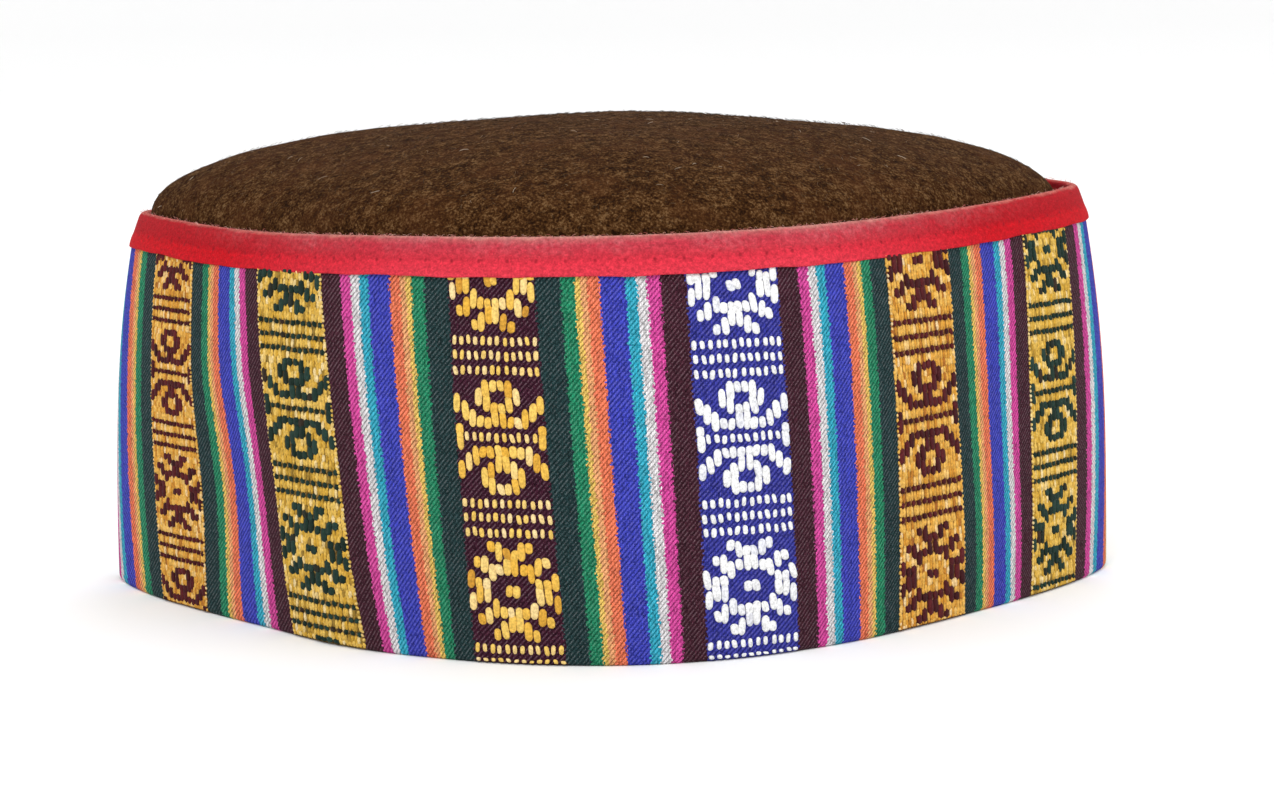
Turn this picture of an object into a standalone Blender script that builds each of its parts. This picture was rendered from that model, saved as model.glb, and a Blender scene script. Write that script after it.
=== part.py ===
"""Round woven cap: a domed wool crown, a striped cloth band turned up round it and a red binding.

The cap stands on its rim at z = 0 with its front towards -Y, and its origin is at the middle of the rim.
Every layer follows one plan outline, so a change of size moves all of them together.
A turn is the angle round the cap in degrees: 0 at the front, 90 at the +X side fold, 180 at the back.
"""

import math
from collections import namedtuple

import bmesh
import bpy

# Driving sizes, in metres
BODY_RADIUS = 0.0915  # outer radius of the rim between the side folds
SIDE_FOLD_REACH = 0.0235  # how far each side fold stands out past the round body
CUFF_HEIGHT = 0.0852  # rim to the top of the binding at the front
CROWN_HEIGHT = 0.106  # rim to the top of the dome
CROWN_SEAT_DROP = 0.0015  # the dome springs this far below the top of the binding
TOP_LEAN_IN = 0.0055  # how far the body's top edge leans in from its rim
BAND_WALL = 0.002  # woven cloth with its backing
CROWN_WALL = 0.002  # felted wool
BINDING_WALL = 0.0009  # folded tape
BINDING_WIDTH = 0.0077  # what shows of the tape on the outside
BINDING_INNER_WIDTH = 0.0065  # what shows of the tape on the inside
HEM_WALL = 0.0013  # the band's cloth where it is turned up inside
HEM_HEIGHT = 0.014  # rim to the top of the turned-up cloth
HEM_FOLD = 0.002  # cloth under the crown's lower edge
RIM_EDGE = 0.0009  # rounding of the fold at the rim
FIT_GAP = 0.0003  # between one layer and the next

# Shape of the side folds, in degrees of turn
SIDE_FOLD_SPREAD = 47.0
SIDE_FOLD_ROUND = 4.5
FOLD_FADE_POWER = 8.0  # the folds hold their reach low on the dome and are gone at its peak
DOME_FULLNESS = 2.2  # 2 is an ellipse; more makes the shoulders of the dome fuller
LEAN_POWER = 2.5  # the wall stands upright at the rim and leans in more and more

# Fineness of the meshes
TURN_STEPS = 64
DOME_STEPS = 8

# Plan reach as a share of BODY_RADIUS, and top edge as a share of CUFF_HEIGHT
Station = namedtuple("Station", "turn reach rise")
STATIONS = (
    Station(0, 1.020, 0.998),
    Station(30, 0.990, 1.006),
    Station(60, 0.985, 1.018),
    Station(90, 1.000, 1.045),
    Station(120, 1.000, 1.058),
    Station(150, 1.010, 1.030),
    Station(180, 1.018, 1.010),
    Station(210, 1.012, 1.000),
    Station(240, 1.000, 0.992),
    Station(270, 1.000, 0.998),
    Station(300, 1.005, 0.981),
    Station(330, 1.012, 0.992),
)

# Soft dents in the wall: turn and height of the middle, half spreads, and depth as a share of BODY_RADIUS
Dent = namedtuple("Dent", "turn height turn_spread height_spread depth")
DENTS = (
    Dent(298, 0.34, 16, 0.34, 0.018),
    Dent(322, 0.16, 15, 0.30, -0.010),
    Dent(58, 0.55, 18, 0.40, 0.010),
    Dent(150, 0.45, 22, 0.40, 0.014),
    Dent(222, 0.60, 24, 0.40, 0.012),
)

# Heights of the wall's rows as shares of the way from the turned-up hem to the top
WALL_ROWS = (0.12, 0.29, 0.46, 0.62, 0.76, 0.89)

# Insets of the layers, counted from the band's outer face
CROWN_INSET = BAND_WALL + BINDING_WALL + 2 * FIT_GAP
HEM_INSET = CROWN_INSET + CROWN_WALL + FIT_GAP


def around(turn, column):
    """Value of one column of STATIONS at any turn, on a smooth closed curve through the rows."""
    step = 360 / len(STATIONS)
    place = (turn % 360) / step
    first = int(place)
    part = place - first
    before, start, end, after = (
        getattr(STATIONS[(first + offset) % len(STATIONS)], column) for offset in (-1, 0, 1, 2)
    )
    slope = end - before
    bend = 2 * before - 5 * start + 4 * end - after
    twist = 3 * (start - end) + after - before
    return start + 0.5 * part * (slope + part * (bend + part * twist))


def side_fold(turn):
    """Share of SIDE_FOLD_REACH at a turn: 1 on the fold, falling to 0 where the body is round."""

    def tent(off):
        softened = math.hypot(off, SIDE_FOLD_ROUND)
        return max(0.0, 1 - softened / SIDE_FOLD_SPREAD) ** 2

    return tent(abs(turn % 180 - 90)) / tent(0)


def cuff_top(turn):
    """Height of the binding's top edge at a turn."""
    return CUFF_HEIGHT * around(turn, "rise")


def dent_depth(turn, share):
    """How far the wall is pushed in at a turn and a share of its height."""
    depth = 0.0
    for dent in DENTS:
        off_turn = ((turn - dent.turn + 180) % 360 - 180) / dent.turn_spread
        off_height = (share - dent.height) / dent.height_spread
        nearness = max(0.0, 1 - off_turn**2) * max(0.0, 1 - off_height**2)
        depth += dent.depth * BODY_RADIUS * nearness**2
    return depth


def wall_radius(turn, height):
    """Radius of the band's outer face at a turn and a height."""
    share = height / cuff_top(turn)
    lean = 1 - TOP_LEAN_IN / BODY_RADIUS * max(0.0, share) ** LEAN_POWER
    plan = BODY_RADIUS * around(turn, "reach") + SIDE_FOLD_REACH * side_fold(turn)
    return plan * lean - dent_depth(turn, share)


def on_wall(turn, inset, height):
    """Point at a turn and a height, set in from the band's outer face."""
    radius = wall_radius(turn, height) - inset
    angle = math.radians(turn)
    return (radius * math.sin(angle), -radius * math.cos(angle), height)


def wall_heights(top):
    """Heights of the wall's rows between the top of the hem and a top edge, lowest first."""
    return [HEM_HEIGHT + share * (top - HEM_HEIGHT) for share in WALL_ROWS]


def band_section(turn):
    """Closed outline of the band at one turn: up outside, down inside, and round the turned hem."""
    top = cuff_top(turn) - BINDING_WALL - FIT_GAP
    rows = wall_heights(top)
    hem_back = HEM_INSET + HEM_WALL
    corner = 0.3 * RIM_EDGE
    outline = [(RIM_EDGE, 0), (corner, corner), (0, RIM_EDGE), (0, HEM_HEIGHT)]
    outline += [(0, height) for height in rows]
    outline += [(0, top), (BAND_WALL, top)]
    outline += [(BAND_WALL, height) for height in reversed(rows)]
    outline += [(BAND_WALL, HEM_HEIGHT), (BAND_WALL, HEM_FOLD), (HEM_INSET, HEM_FOLD)]
    outline += [(HEM_INSET, HEM_HEIGHT), (hem_back, HEM_HEIGHT), (hem_back, RIM_EDGE)]
    outline += [(hem_back - corner, corner), (hem_back - RIM_EDGE, 0)]
    return [on_wall(turn, inset, height) for inset, height in outline]


def binding_section(turn):
    """Closed outline of the tape folded over the band's top edge at one turn."""
    top = cuff_top(turn)
    under = top - BINDING_WALL
    outside = -FIT_GAP - BINDING_WALL
    inside = BAND_WALL + FIT_GAP + BINDING_WALL
    soft = 0.8 * BINDING_WALL
    outline = [(outside, top - BINDING_WIDTH), (outside, top - 0.5 * BINDING_WIDTH), (outside, top - soft)]
    outline += [(outside + 0.3 * soft, top - 0.3 * soft), (outside + soft, top)]
    outline += [(inside - soft, top), (inside - 0.3 * soft, top - 0.3 * soft), (inside, top - soft)]
    outline += [(inside, top - BINDING_INNER_WIDTH), (inside - BINDING_WALL, top - BINDING_INNER_WIDTH)]
    outline += [(inside - BINDING_WALL, under), (-FIT_GAP, under)]
    outline += [(-FIT_GAP, top - 0.5 * BINDING_WIDTH), (-FIT_GAP, top - BINDING_WIDTH)]
    return [on_wall(turn, inset, height) for inset, height in outline]


def dome_point(turn, inset, peak, rise):
    """Point on a dome that springs upright from the wall; rise runs from 0 at the wall to 90 at the peak.

    The side folds fade out towards the peak, so the dome grows rounder as it rises.
    """
    spring = cuff_top(turn) - CROWN_SEAT_DROP
    base_x, base_y, base_z = on_wall(turn, inset, spring)
    out = math.cos(math.radians(rise)) ** (2 / DOME_FULLNESS)
    up = math.sin(math.radians(rise)) ** (2 / DOME_FULLNESS)
    fold = SIDE_FOLD_REACH * side_fold(turn) / math.hypot(base_x, base_y)
    spread = out * (1 - fold * up**FOLD_FADE_POWER)
    return (base_x * spread, base_y * spread, base_z + (peak - base_z) * up)


def crown_section(turn):
    """Open outline of the crown at one turn, from the top of the dome down outside and up inside."""
    foot = HEM_FOLD + FIT_GAP
    spring = cuff_top(turn) - CROWN_SEAT_DROP
    rows = wall_heights(spring)
    inner = CROWN_INSET + CROWN_WALL
    rises = [90 * step / DOME_STEPS for step in range(DOME_STEPS)]
    outline = [dome_point(turn, CROWN_INSET, CROWN_HEIGHT, rise) for rise in reversed(rises)]
    outline += [on_wall(turn, CROWN_INSET, height) for height in reversed(rows)]
    outline += [on_wall(turn, CROWN_INSET, HEM_HEIGHT), on_wall(turn, CROWN_INSET, foot)]
    outline += [on_wall(turn, inner, foot), on_wall(turn, inner, HEM_HEIGHT)]
    outline += [on_wall(turn, inner, height) for height in rows]
    outline += [dome_point(turn, inner, CROWN_HEIGHT - CROWN_WALL, rise) for rise in rises]
    return outline


def loft(name, section, caps=()):
    """Body lofted through the sections all the way round.

    Without caps each section is a closed outline. With two caps, the open outlines start and end in
    these two points, where all of them meet.
    """
    mesh = bmesh.new()
    turns = [360 * step / TURN_STEPS for step in range(TURN_STEPS)]
    rings = [[mesh.verts.new(point) for point in section(turn)] for turn in turns]
    count = len(rings[0])
    spans = count - 1 if caps else count
    for step, ring in enumerate(rings):
        following = rings[(step + 1) % TURN_STEPS]
        for place in range(spans):
            beyond = (place + 1) % count
            mesh.faces.new((ring[place], following[place], following[beyond], ring[beyond]))
    for cap, place in zip(caps, (0, count - 1)):
        middle = mesh.verts.new(cap)
        for step, ring in enumerate(rings):
            following = rings[(step + 1) % TURN_STEPS]
            mesh.faces.new((ring[place], following[place], middle))
    bmesh.ops.recalc_face_normals(mesh, faces=mesh.faces[:])
    data = bpy.data.meshes.new(name)
    mesh.to_mesh(data)
    mesh.free()
    data.shade_smooth()
    data.set_sharp_from_angle(angle=math.radians(40))
    piece = bpy.data.objects.new(name, data)
    bpy.context.collection.objects.link(piece)
    return piece


def finish(piece, name, colour, roughness):
    """Give a piece its own material."""
    material = bpy.data.materials.new(name)
    material.use_nodes = True
    shader = material.node_tree.nodes["Principled BSDF"]
    shader.inputs["Base Color"].default_value = (*colour, 1)
    shader.inputs["Roughness"].default_value = roughness
    shader.inputs["Metallic"].default_value = 0
    piece.data.materials.append(material)


def build_crown(parent):
    """Wool crown: a low dome and its side, in one felted piece."""
    peaks = [(0, 0, CROWN_HEIGHT), (0, 0, CROWN_HEIGHT - CROWN_WALL)]
    crown = loft("crown", crown_section, peaks)
    finish(crown, "brown wool", (0.075, 0.040, 0.020), 0.95)
    crown.parent = parent


def build_band(parent):
    """Woven band round the crown, turned under at the rim and up inside it."""
    band = loft("band", band_section)
    finish(band, "striped cloth", (0.12, 0.045, 0.075), 0.85)
    band.parent = parent


def build_binding(parent):
    """Red tape folded over the band's top edge."""
    binding = loft("binding", binding_section)
    finish(binding, "red tape", (0.62, 0.035, 0.055), 0.8)
    binding.parent = parent


def clear_scene():
    """Remove what the scene holds before the cap is built."""
    for item in list(bpy.data.objects):
        bpy.data.objects.remove(item, do_unlink=True)


def main():
    clear_scene()
    cap = bpy.data.objects.new("cap", None)
    bpy.context.collection.objects.link(cap)
    build_crown(cap)
    build_band(cap)
    build_binding(cap)


main()
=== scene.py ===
"""Looks of a round woven cap: wool crown, striped cloth band with raised pattern threads, red binding.

Laid out as a Blender add-on. Every piece follows one plan outline, worked out from the sizes in
CapShape, and a turn is the angle round the cap in degrees: 0 at the front, 90 at the +X side fold.
"""

import math
from collections import namedtuple

import bpy
import numpy as np
from bpy.props import FloatProperty, FloatVectorProperty, IntProperty, PointerProperty
from bpy.types import Operator, Panel, PropertyGroup
from mathutils import Matrix, Vector


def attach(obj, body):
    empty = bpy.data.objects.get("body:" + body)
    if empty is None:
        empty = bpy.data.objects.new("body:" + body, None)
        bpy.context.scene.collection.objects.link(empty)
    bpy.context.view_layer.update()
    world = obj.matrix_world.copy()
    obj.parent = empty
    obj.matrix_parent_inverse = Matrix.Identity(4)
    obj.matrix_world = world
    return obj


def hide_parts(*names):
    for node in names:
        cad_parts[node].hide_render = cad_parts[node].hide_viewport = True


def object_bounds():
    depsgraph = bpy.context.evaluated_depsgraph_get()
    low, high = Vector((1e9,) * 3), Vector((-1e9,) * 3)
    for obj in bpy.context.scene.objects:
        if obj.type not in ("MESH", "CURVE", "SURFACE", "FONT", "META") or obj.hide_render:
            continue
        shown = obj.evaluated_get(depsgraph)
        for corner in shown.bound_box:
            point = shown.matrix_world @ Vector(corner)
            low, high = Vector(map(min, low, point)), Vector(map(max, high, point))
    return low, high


bl_info = {
    "name": "Woven cap",
    "version": (1, 0, 0),
    "blender": (4, 5, 0),
    "location": "3D View > Sidebar > Cap",
    "description": "Builds a round woven cap with a wool crown, a striped band and a red binding",
    "category": "Object",
}

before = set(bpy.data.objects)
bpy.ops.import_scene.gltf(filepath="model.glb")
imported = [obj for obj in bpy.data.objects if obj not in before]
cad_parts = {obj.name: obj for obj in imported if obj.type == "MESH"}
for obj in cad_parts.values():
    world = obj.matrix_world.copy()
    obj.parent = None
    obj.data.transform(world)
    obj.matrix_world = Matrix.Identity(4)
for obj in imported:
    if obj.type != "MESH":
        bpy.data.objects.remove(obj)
CAD_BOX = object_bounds()
ROOT = "root"
BODY_RADIUS = 0.0915
MILLIMETRES = 1000  # in a metre

# Every 30 degrees round the cap: plan reach as a share of the body radius, and top edge as a share of
# the cuff height
Station = namedtuple("Station", "turn reach rise")
STATIONS = (
    Station(0, 1.020, 0.998),
    Station(30, 0.990, 1.006),
    Station(60, 0.985, 1.018),
    Station(90, 1.000, 1.045),
    Station(120, 1.000, 1.058),
    Station(150, 1.010, 1.030),
    Station(180, 1.018, 1.010),
    Station(210, 1.012, 1.000),
    Station(240, 1.000, 0.992),
    Station(270, 1.000, 0.998),
    Station(300, 1.005, 0.981),
    Station(330, 1.012, 0.992),
)

# Soft dents in the wall: turn and height of the middle, half spreads, depth as a share of the body radius
Dent = namedtuple("Dent", "turn height turn_spread height_spread depth")
DENTS = (
    Dent(298, 0.34, 16, 0.34, 0.018),
    Dent(322, 0.16, 15, 0.30, -0.010),
    Dent(58, 0.55, 18, 0.40, 0.010),
    Dent(150, 0.45, 22, 0.40, 0.014),
    Dent(222, 0.60, 24, 0.40, 0.012),
)

# Pattern bands round the cap: middle at the top and at the rim, and half width, along the rim in
# millimetres from the front, how much higher than usual its stars sit, in millimetres, and its row
# pitch as a share of the usual one. The stripes between two bands share out what lies between them.
WovenBand = namedtuple("WovenBand", "number ground top rim half_width lift pitch", defaults=(0.0, 1.0))
WOVEN_BANDS = (
    WovenBand(-7, "lime", -378.0, -371.0, 9.8),
    WovenBand(-6, "gold", -327.0, -320.0, 9.8),
    WovenBand(-5, "lime", -276.0, -269.0, 9.8),
    WovenBand(-4, "wine", -225.0, -218.0, 9.8, 4.0, 0.96),
    WovenBand(-3, "blue", -174.5, -166.5, 9.6, 9.0, 0.90),
    WovenBand(-2, "gold", -124.1, -115.2, 8.6, 12.5, 0.845),
    WovenBand(-1, "lime", -78.4, -64.5, 10.8, 6.8, 0.922),
    WovenBand(0, "wine", -24.7, -19.0, 9.5, 2.0, 0.995),
    WovenBand(1, "blue", 26.2, 28.9, 10.2, 1.8, 0.974),
    WovenBand(2, "gold", 76.1, 76.8, 10.6, -1.8, 1.07),
    WovenBand(3, "lime", 123.8, 121.2, 9.3, 0.9, 1.01),
    WovenBand(4, "wine", 173.5, 170.0, 9.8),
    WovenBand(5, "blue", 224.5, 220.0, 9.8),
    WovenBand(6, "gold", 275.5, 270.5, 9.8),
    WovenBand(7, "lime", 326.5, 321.5, 9.8),
)
BAND_SHARE = 0.187  # half width of a pattern band, counted in bands from one middle to the next
DRIFT_HEIGHT = 0.070  # the middles at the top are measured this far above the rim

# Form of the crown and the band, in metres and degrees
DOME_TOP_RISE = 88  # the outer dome's last ring, in degrees of rise
DOME_INNER_TOP_RISE = 86
FOLD_FADE_POWER = 8  # how late the side folds fade towards the top of the dome
LEAN_POWER = 2.5  # how late the wall starts to lean in
SINK_TURN = 92  # the crown sinks round this turn
SINK_SPREAD = 34
SINK_DEPTH = 0.0032
SINK_INWARDS = 0.9  # how far it goes in for each metre down
TUCK_DEPTH = 0.0014  # the tape's stitches press the cloth in this far
TUCK_REACH = 0.0085  # and this far below the tape's fold
LAP_RISE = 0.0008  # the cloth's end over its start, at the back
LAP_WIDTH = 0.007
SEAM_INSET = 0.0024  # the stitches lie this far from the end
SEAM_STITCH_PITCH = 0.0046
SEAM_STITCH_LENGTH = 0.0030

# Points round the cap: for measuring along the rim, and in the rings of each mesh
RIM_POINTS = 2881
CROWN_POINTS = 360
BAND_POINTS = 621
TAPE_POINTS = 841

# The tape: how deep its fold goes over the edge, and its weave
TAPE_FOLD_DEPTH = 0.0009
TAPE_FOLD_INSET = 0.0014
TAPE_THREAD_PITCH = 0.00030
TAPE_FIBRES = 1500

# Charts of the woven figures, read along the band: X is a raised thread
STAR = (
    "...XX..XX...",
    "....XXXX....",
    ".XX..XX..XX.",
    "..XXXXXXXX..",
    "X..X....X..X",
    "XXX......XXX",
    ".XX..XX..XX.",
    "XXX......XXX",
    "X..X....X..X",
    "..XXXXXXXX..",
    ".XX..XX..XX.",
    "....XXXX....",
    "...XX..XX...",
)
FIGURE = (
    "....XXXX....",
    "...XX..XX...",
    "X..XX..XX..X",
    "XX..XXXX..XX",
    ".XX..XX..XX.",
    "..XXXXXXXX..",
    "X..........X",
    "XXXXXXXXXXXX",
    "X..........X",
    "..XXXXXXXX..",
    ".XX..XX..XX.",
    "XX..XXXX..XX",
    "X..XX..XX..X",
    "...XX..XX...",
    "....XXXX....",
)

# Order of the rows up a pattern band, from the middle of one star to the middle of the next
COLUMNS = 12
FULL_ROW = "X" * COLUMNS
PLAIN_ROW = "." * COLUMNS
DASHES = (PLAIN_ROW, FULL_ROW, PLAIN_ROW, FULL_ROW, PLAIN_ROW, FULL_ROW, PLAIN_ROW)
REPEAT = STAR[6:] + DASHES + FIGURE + DASHES + STAR[:6]

# Stripes between a pattern band with green edges (0) and one with dark red edges (1)
Stripe = namedtuple("Stripe", "start colour")
STRIPES = (
    Stripe(BAND_SHARE, "deep_green"),
    Stripe(0.292, "green"),
    Stripe(0.348, "yellow"),
    Stripe(0.374, "peach"),
    Stripe(0.402, "orange"),
    Stripe(0.452, "blue"),
    Stripe(0.557, "cyan"),
    Stripe(0.605, "white"),
    Stripe(0.648, "pink"),
    Stripe(0.700, "wine"),
)


def length(name, description, default):
    """A length in metres that shows in the panel."""
    return FloatProperty(name=name, description=description, default=default, precision=5, unit="LENGTH")


def number(name, description, default):
    """A plain number or an angle in degrees that shows in the panel."""
    return FloatProperty(name=name, description=description, default=default)


def colour(name, default):
    """A surface colour that shows in the panel."""
    return FloatVectorProperty(
        name=name, description=f"Colour of the {name.lower()}", default=default,
        subtype="COLOR", min=0, max=1,
    )


class CapShape(PropertyGroup):
    """Sizes of the cap."""

    crown_height: length("Height", "Rim to the top of the dome", CAD_BOX[1].z)
    body_radius: length("Body radius", "Outer radius of the rim between the side folds", BODY_RADIUS)
    fold_reach: length("Side fold", "How far each side fold stands out", CAD_BOX[1].x - BODY_RADIUS)
    cuff_height: length("Cuff height", "Rim to the top of the binding at the front", 0.0852)
    fullness: number("Fullness", "2 is an ellipse; more fills the shoulders", 2.2)
    seat_drop: length("Seat drop", "The dome springs this far below the binding's top", 0.0015)
    lean_in: length("Lean", "How far the top edge leans in from the rim", 0.0055)
    band_wall: length("Band wall", "Woven cloth with its backing", 0.002)
    crown_wall: length("Crown wall", "Felted wool", 0.002)
    tape_wall: length("Tape wall", "Folded tape", 0.0009)
    tape_width: length("Tape width", "What shows of the tape outside", 0.0077)
    tape_inner_width: length("Inner tape width", "What shows of the tape inside", 0.0065)
    hem_wall: length("Hem wall", "Cloth turned up inside the rim", 0.0013)
    hem_height: length("Hem height", "Rim to the top of the turned-up cloth", 0.014)
    hem_fold: length("Hem fold", "Cloth under the crown's lower edge", 0.002)
    rim_round: length("Rim round", "Radius of the fold at the rim", 0.0012)
    fit_gap: length("Gap", "Between one layer and the next", 0.0003)
    fold_spread: number("Fold spread", "Half width of a side fold in degrees", 47)
    fold_round: number("Fold round", "Rounding of a side fold in degrees", 4.5)


class ClothWeave(PropertyGroup):
    """Thread sizes and colours of the woven band."""

    band_pitch: length("Band pitch", "From one pattern band to the next", 0.0505)
    thread_pitch: length("Thread pitch", "From one twill thread to the next", 0.00036)
    row_pitch: length("Row pitch", "From one pattern row to the next", 0.00147)
    star_height: length("Star height", "Rim to the middle of the lowest star", 0.0129)
    float_rise: length("Raised thread", "How far a pattern thread stands out", 0.00048)
    deep_green: colour("Deep green stripe", (0.016, 0.042, 0.044))
    green: colour("Green stripe", (0.016, 0.225, 0.110))
    yellow: colour("Yellow stripe", (0.760, 0.500, 0.110))
    peach: colour("Peach stripe", (0.800, 0.360, 0.150))
    orange: colour("Orange stripe", (0.800, 0.180, 0.085))
    blue: colour("Blue stripe", (0.046, 0.056, 0.450))
    cyan: colour("Cyan stripe", (0.030, 0.380, 0.520))
    white: colour("White stripe", (0.700, 0.675, 0.685))
    pink: colour("Pink stripe", (0.640, 0.060, 0.310))
    wine: colour("Wine stripe", (0.058, 0.015, 0.026))
    wine_ground: colour("Wine ground", (0.050, 0.010, 0.024))
    blue_ground: colour("Blue ground", (0.036, 0.040, 0.300))
    gold_ground: colour("Ground under gold", (0.260, 0.100, 0.022))
    lime_ground: colour("Ground under lime", (0.220, 0.130, 0.024))


class Studio(PropertyGroup):
    """Camera, and the start of the random draws."""

    eye_height: length("Eye height", "Height of the camera above the floor", 0.1261)
    eye_distance: length("Eye distance", "From the camera to the middle of the cap", 0.5966)
    pitch: number("Pitch", "How far the camera looks down, in degrees", 8.218)
    yaw: number("Yaw", "How far the camera turns to +X, in degrees", 0.558)
    roll: number("Roll", "How far the camera tilts, in degrees", -0.590)
    focal: number("Lens", "Focal length on a 36 mm wide sensor", 73.47)
    seed: IntProperty(name="Seed", description="Start of the random draws", default=7)


def shape():
    """Sizes of the cap in this scene."""
    return bpy.context.scene.cap_shape


def weave():
    """Threads and colours of the band in this scene."""
    return bpy.context.scene.cap_weave


# Form of the cap

def around(turn, column):
    """Values of one column of STATIONS at any turns, on a smooth closed curve through the rows."""
    values = np.array([getattr(row, column) for row in STATIONS])
    place = (np.asarray(turn, float) % 360) / (360 / len(values))
    first = np.floor(place).astype(int)
    part = place - first
    before, start, end, after = (values[(first + offset) % len(values)] for offset in (-1, 0, 1, 2))
    bend = 2 * before - 5 * start + 4 * end - after
    twist = 3 * (start - end) + after - before
    return start + 0.5 * part * (end - before + part * (bend + part * twist))


def side_fold(turn):
    """Share of the fold's reach at a turn: 1 on the fold, falling to 0 where the body is round."""
    cap = shape()

    def tent(off):
        return np.maximum(0.0, 1 - np.hypot(off, cap.fold_round) / cap.fold_spread) ** 2

    return tent(np.abs(np.asarray(turn, float) % 180 - 90)) / tent(0)


def cuff_top(turn):
    """Height of the binding's top edge."""
    return shape().cuff_height * around(turn, "rise")


def dent_depth(turn, share):
    """How far the wall is pushed in."""
    depth = 0.0
    for dent in DENTS:
        off_turn = ((turn - dent.turn + 180) % 360 - 180) / dent.turn_spread
        off_height = (share - dent.height) / dent.height_spread
        nearness = np.maximum(0, 1 - off_turn**2) * np.maximum(0, 1 - off_height**2)
        depth = depth + dent.depth * shape().body_radius * nearness**2
    return depth


def on_wall(turn, inset, height):
    """Points at turns and heights, set in from the band's outer face."""
    cap = shape()
    turn, inset, height = np.broadcast_arrays(*(np.asarray(value, float) for value in (turn, inset, height)))
    share = height / cuff_top(turn)
    lean = 1 - cap.lean_in / cap.body_radius * np.maximum(0, share) ** LEAN_POWER
    plan = cap.body_radius * around(turn, "reach") + cap.fold_reach * side_fold(turn)
    radius = plan * lean - dent_depth(turn, share) - inset
    angle = np.radians(turn)
    return np.stack([radius * np.sin(angle), -radius * np.cos(angle), height], -1)


def sink(turn):
    """How much the crown sits lower and further in at the +X fold, in metres."""
    near = np.maximum(0, 1 - ((np.asarray(turn, float) % 360 - SINK_TURN) / SINK_SPREAD) ** 2)
    return SINK_DEPTH * near**2


def on_dome(turn, inset, peak, rise):
    """Points on the dome; rise runs from 0 at the wall to 90 at the peak."""
    cap = shape()
    turn, rise = np.broadcast_arrays(np.asarray(turn, float), np.asarray(rise, float))
    drop = sink(turn)
    base = on_wall(turn, inset + SINK_INWARDS * drop, cuff_top(turn) - cap.seat_drop - drop)
    out = np.cos(np.radians(rise)) ** (2 / cap.fullness)
    up = np.sin(np.radians(rise)) ** (2 / cap.fullness)
    fold = cap.fold_reach * side_fold(turn) / np.hypot(base[..., 0], base[..., 1])
    spread = out * (1 - fold * up**FOLD_FADE_POWER)
    return np.stack([
        base[..., 0] * spread,
        base[..., 1] * spread,
        base[..., 2] + (peak - base[..., 2]) * up,
    ], -1)


def crown_inset():
    """How far the crown's outer face lies in from the band's."""
    cap = shape()
    return cap.band_wall + cap.tape_wall + 2 * cap.fit_gap


def rim_arcs():
    """Turns round the cap and how far along the rim each lies from the front, in metres."""
    turns = np.linspace(-180, 180, RIM_POINTS)
    steps = np.linalg.norm(np.diff(on_wall(turns, 0, 0), axis=0), axis=1)
    arcs = np.concatenate([[0], np.cumsum(steps)])
    return turns, arcs - np.interp(0, turns, arcs)


def along_rim(count):
    """Evenly spaced places along the rim, in metres from the front, and their turns."""
    turns, arcs = rim_arcs()
    arc = np.linspace(arcs[0], arcs[-1], count)
    return arc, np.interp(arc, arcs, turns)


def band_knots(height):
    """Edges of the pattern bands at a height: counted in bands, and along the rim in metres."""
    share = height / DRIFT_HEIGHT
    counts, arcs = [], []
    for band in WOVEN_BANDS:
        middle = band.rim + (band.top - band.rim) * share
        counts += [band.number - BAND_SHARE, band.number + BAND_SHARE]
        arcs += [(middle - band.half_width) / MILLIMETRES, (middle + band.half_width) / MILLIMETRES]
    return np.array(counts), np.array(arcs)


def soft_step(near):
    """Eases a share from 0 to 1."""
    return near * near * (3 - 2 * near)


def cloth_ripple(arc, height):
    """Slight waves of the cloth, in metres outwards."""
    low = np.sin(arc * 61 + 0.6) * np.sin(arc * 23 + height * 34 + 1.1)
    fine = np.sin(arc * 173 - height * 90 + 2.0) * np.sin(arc * 71 + 0.3)
    return 0.00034 * low + 0.00010 * fine


def tuck(turn, height):
    """How far the cloth is pressed in where the tape holds it."""
    return TUCK_DEPTH * soft_step(np.clip(1 - (cuff_top(turn) - height) / TUCK_REACH, 0, 1))


def seam_lap(arc, half_round):
    """Extra height of the cloth where one end laps over the other at the back."""
    return LAP_RISE * soft_step(np.clip(1 - (half_round - arc) / LAP_WIDTH, 0, 1))


def on_cloth(arc, height, out=0.0):
    """Points on the outer face of the band, given along the rim, up, and outwards."""
    turns, arcs = rim_arcs()
    half_round = arcs[-1]
    arc = np.asarray(arc, float)
    turn = np.interp(arc, arcs, turns)
    lift = cloth_ripple(arc, height) + seam_lap(arc, half_round) - tuck(turn, height)
    return on_wall(turn, -(np.asarray(out) + lift), height)


# Mesh helpers

def new_object(name, mesh, material):
    """Smooth object of a mesh, with its material, riding on the cap."""
    mesh.shade_smooth()
    piece = bpy.data.objects.new(name, mesh)
    bpy.context.scene.collection.objects.link(piece)
    mesh.materials.append(material)
    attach(piece, ROOT)
    return piece


def fill_uv(mesh, name, values):
    """UV map from one pair of values for each face corner."""
    layer = mesh.uv_layers.new(name=name)
    layer.data.foreach_set("uv", np.asarray(values, np.float32).ravel())


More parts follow.
